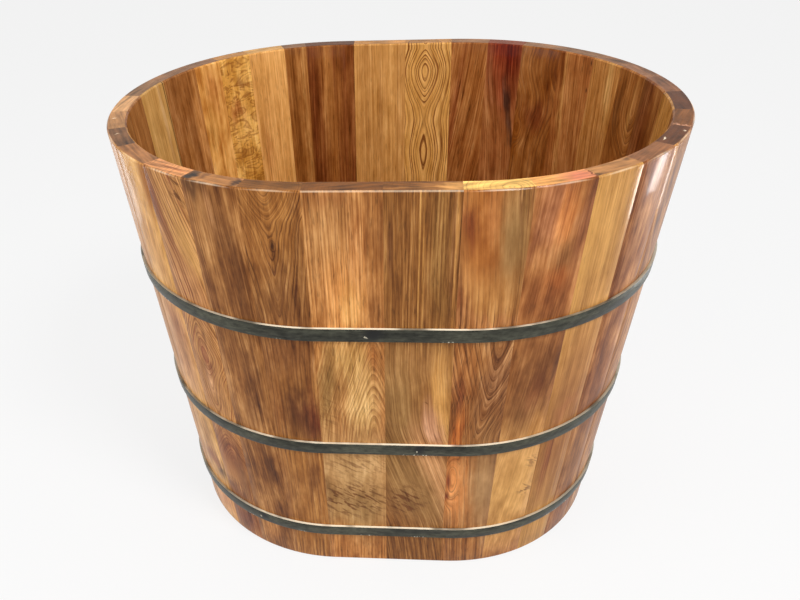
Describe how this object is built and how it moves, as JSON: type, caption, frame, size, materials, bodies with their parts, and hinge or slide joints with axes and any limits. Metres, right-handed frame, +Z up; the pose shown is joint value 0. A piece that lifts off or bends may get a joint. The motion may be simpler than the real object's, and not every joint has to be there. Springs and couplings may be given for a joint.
{
  "type": "wooden bathtub",
  "caption": "Deep oval soaking tub of leaning wooden staves held by flat steel hoops, with a planked floor and a lift-up plug.",
  "frame": {"origin": "middle of the foot, on the surface that the tub stands on", "axes": "+Z up, +X along the tub towards the waste, -Y towards the front"},
  "size_m": [0.9496, 0.7396, 0.8],
  "materials": {
    "stave_wood": "glossy clear varnish over mixed tan, orange and red-brown boards",
    "floor_wood": "glossy clear varnish",
    "batten_wood": "plain planed wood",
    "dowel_wood": "plain turned wood",
    "hoop_steel": "dark satin strap with light scratches",
    "screw_steel": "bright",
    "waste_chrome": "polished",
    "brass": "machined",
    "seal_rubber": "matt"
  },
  "bodies": {
    "tub": {"stave_01": "stave_wood", "stave_02": "stave_wood", "stave_03": "stave_wood", "stave_04": "stave_wood", "stave_05": "stave_wood", "stave_06": "stave_wood", "stave_07": "stave_wood", "stave_08": "stave_wood", "stave_09": "stave_wood", "stave_10": "stave_wood", "stave_11": "stave_wood", "stave_12": "stave_wood", "stave_13": "stave_wood", "stave_14": "stave_wood", "stave_15": "stave_wood", "stave_16": "stave_wood", "stave_17": "stave_wood", "stave_18": "stave_wood", "stave_19": "stave_wood", "stave_20": "stave_wood", "stave_21": "stave_wood", "stave_22": "stave_wood", "stave_23": "stave_wood", "stave_24": "stave_wood", "stave_25": "stave_wood", "stave_26": "stave_wood", "stave_27": "stave_wood", "stave_28": "stave_wood", "stave_29": "stave_wood", "stave_30": "stave_wood", "stave_31": "stave_wood", "stave_32": "stave_wood", "hoop_top": "hoop_steel", "hoop_middle": "hoop_steel", "hoop_bottom": "hoop_steel", "floor_board_1": "floor_wood", "floor_board_2": "floor_wood", "floor_board_3": "floor_wood", "floor_board_4": "floor_wood", "floor_board_5": "floor_wood", "floor_board_6": "floor_wood", "floor_board_7": "floor_wood", "batten_left": "batten_wood", "batten_right": "batten_wood", "stave_dowels": "dowel_wood", "floor_dowels": "dowel_wood", "batten_screws": "screw_steel", "drain_body": "waste_chrome", "drain_top_gasket": "seal_rubber", "drain_under_gasket": "seal_rubber", "drain_lock_nut": "brass"},
    "plug": {"plug_cap": "waste_chrome", "plug_seal": "seal_rubber", "plug_stem": "brass", "plug_stop_clip": "screw_steel"}
  },
  "joints": [
    {"name": "plug_lift", "type": "slide", "parent": "tub", "child": "plug", "axis": [0, 0, 1], "range_m": [0, 0.009]}
  ]
}
